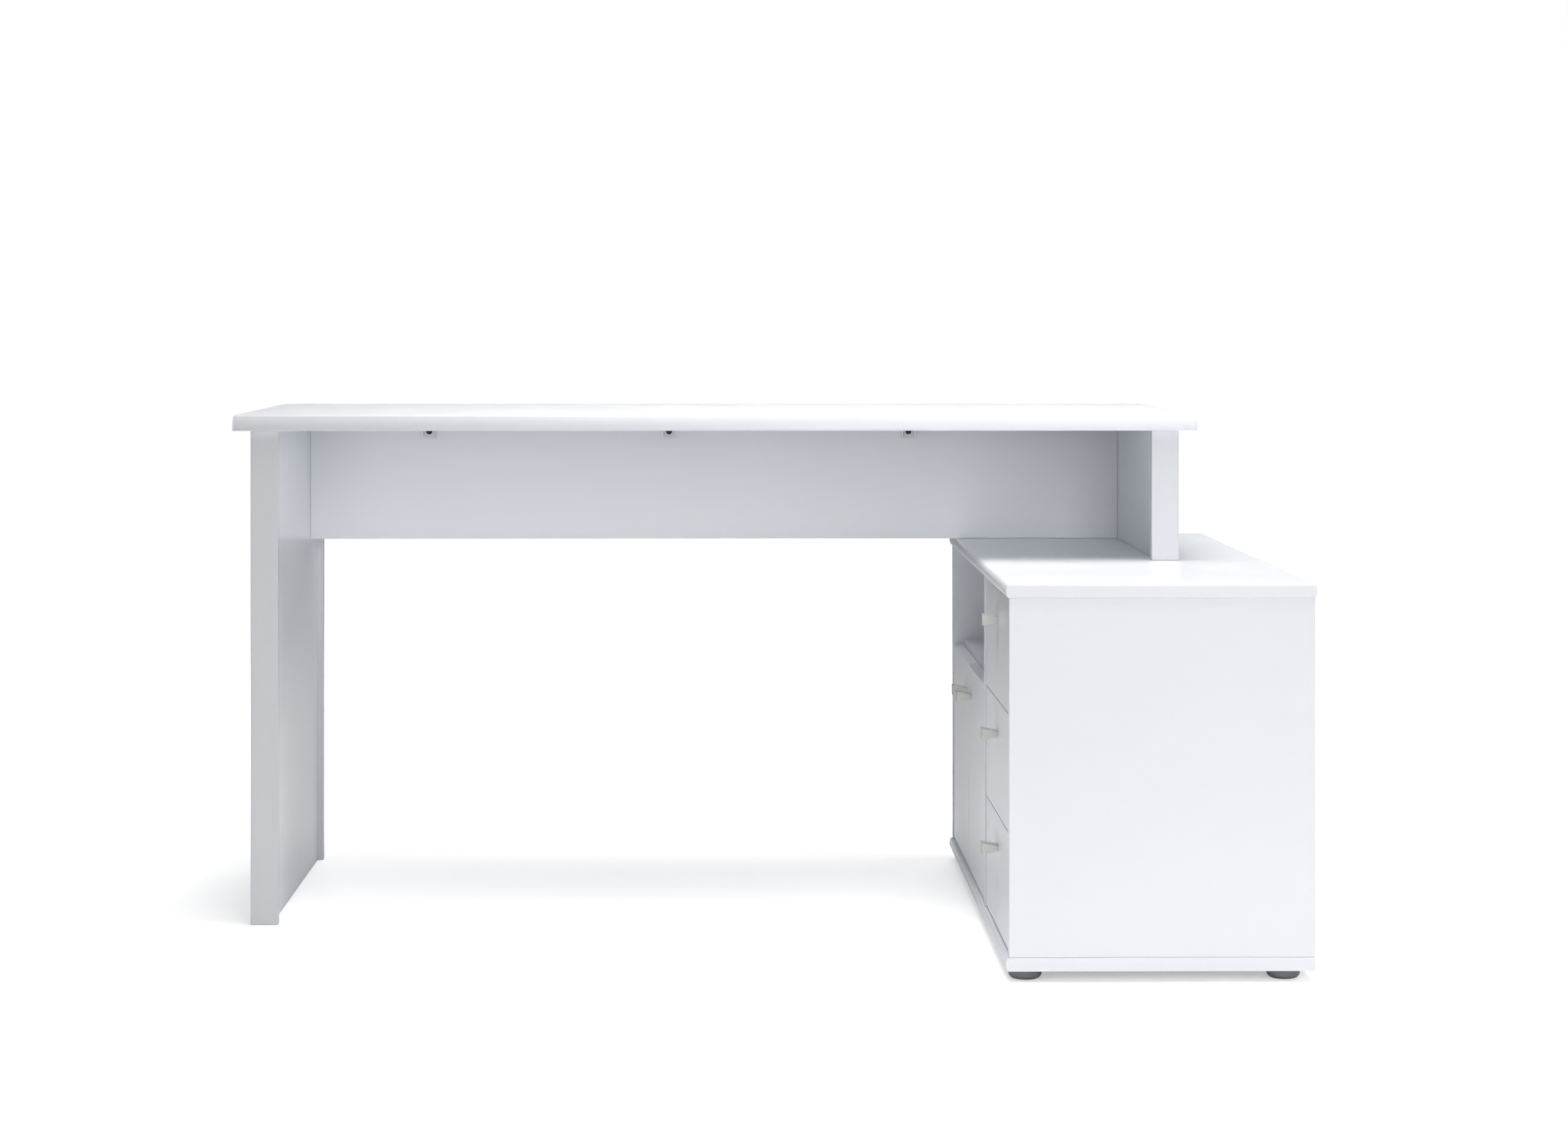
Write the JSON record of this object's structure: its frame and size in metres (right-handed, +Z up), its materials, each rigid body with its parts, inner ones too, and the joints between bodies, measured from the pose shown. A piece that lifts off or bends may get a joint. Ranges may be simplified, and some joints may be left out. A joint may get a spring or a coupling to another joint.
{
  "type": "corner desk with side cabinet",
  "caption": "White corner desk: desktop on a panel leg and on a low side cabinet with drawers, a niche and doors.",
  "frame": {"origin": "floor level, middle of the overall footprint", "axes": "+X along the desktop towards the cabinet, +Y from the sitter towards the wall, +Z up"},
  "size_m": [1.518, 1.0124, 0.75],
  "materials": {
    "white_laminate": "white melamine laminate on chipboard, satin",
    "white_hardboard": "white-faced hardboard, matt",
    "white_plastic": "matt",
    "grey_plastic": "matt",
    "satin_metal": "satin",
    "white_steel": "epoxy coated, satin",
    "zinc": "nickel plated, satin"
  },
  "bodies": {
    "frame": {"desktop": "white_laminate", "left_side_panel": "white_laminate", "left_front_strip": "white_laminate", "left_rear_strip": "white_laminate", "right_side_panel": "white_laminate", "right_front_strip": "white_laminate", "right_rear_strip": "white_laminate", "back_panel": "white_laminate", "cabinet_top": "white_laminate", "cabinet_bottom": "white_laminate", "cabinet_near_end": "white_laminate", "cabinet_far_end": "white_laminate", "cabinet_divider": "white_laminate", "niche_shelf": "white_laminate", "cabinet_back": "white_hardboard", "corner_bracket_1": "white_plastic", "corner_bracket_2": "white_plastic", "corner_bracket_3": "white_plastic", "foot_near_front": "grey_plastic", "foot_near_rear": "grey_plastic", "foot_middle_front": "grey_plastic", "foot_middle_rear": "grey_plastic", "foot_far_front": "grey_plastic", "foot_far_rear": "grey_plastic", "rail_top_near": "white_steel", "rail_top_far": "white_steel", "rail_middle_near": "white_steel", "rail_middle_far": "white_steel", "rail_bottom_near": "white_steel", "rail_bottom_far": "white_steel", "door_near_hinge_low_arm": "zinc", "door_near_hinge_high_arm": "zinc", "door_far_hinge_low_arm": "zinc", "door_far_hinge_high_arm": "zinc"},
    "drawer_top": {"drawer_top_front": "white_laminate", "drawer_top_handle": "satin_metal", "drawer_top_side_near": "white_laminate", "drawer_top_side_far": "white_laminate", "drawer_top_back": "white_laminate", "drawer_top_bottom": "white_hardboard"},
    "drawer_middle": {"drawer_middle_front": "white_laminate", "drawer_middle_handle": "satin_metal", "drawer_middle_side_near": "white_laminate", "drawer_middle_side_far": "white_laminate", "drawer_middle_back": "white_laminate", "drawer_middle_bottom": "white_hardboard"},
    "drawer_bottom": {"drawer_bottom_front": "white_laminate", "drawer_bottom_handle": "satin_metal", "drawer_bottom_side_near": "white_laminate", "drawer_bottom_side_far": "white_laminate", "drawer_bottom_back": "white_laminate", "drawer_bottom_bottom": "white_hardboard"},
    "door_near": {"door_near_panel": "white_laminate", "door_near_handle": "satin_metal", "door_near_hinge_low_cup": "zinc", "door_near_hinge_high_cup": "zinc"},
    "door_far": {"door_far_panel": "white_laminate", "door_far_handle": "satin_metal", "door_far_hinge_low_cup": "zinc", "door_far_hinge_high_cup": "zinc"}
  },
  "joints": [
    {"name": "drawer_top_slide", "type": "slide", "parent": "frame", "child": "drawer_top", "axis": [-1, 0, 0], "range_m": [0, 0.26]},
    {"name": "drawer_middle_slide", "type": "slide", "parent": "frame", "child": "drawer_middle", "axis": [-1, 0, 0], "range_m": [0, 0.26]},
    {"name": "drawer_bottom_slide", "type": "slide", "parent": "frame", "child": "drawer_bottom", "axis": [-1, 0, 0], "range_m": [0, 0.26]},
    {"name": "door_near_hinge", "type": "hinge", "parent": "frame", "child": "door_near", "pos_m": [0.3453, -0.10765, 0.195], "axis": [0, 0, 1], "range_deg": [0, 88]},
    {"name": "door_far_hinge", "type": "hinge", "parent": "frame", "child": "door_far", "pos_m": [0.3453, 0.48545, 0.195], "axis": [0, 0, -1], "range_deg": [0, 95]}
  ]
}
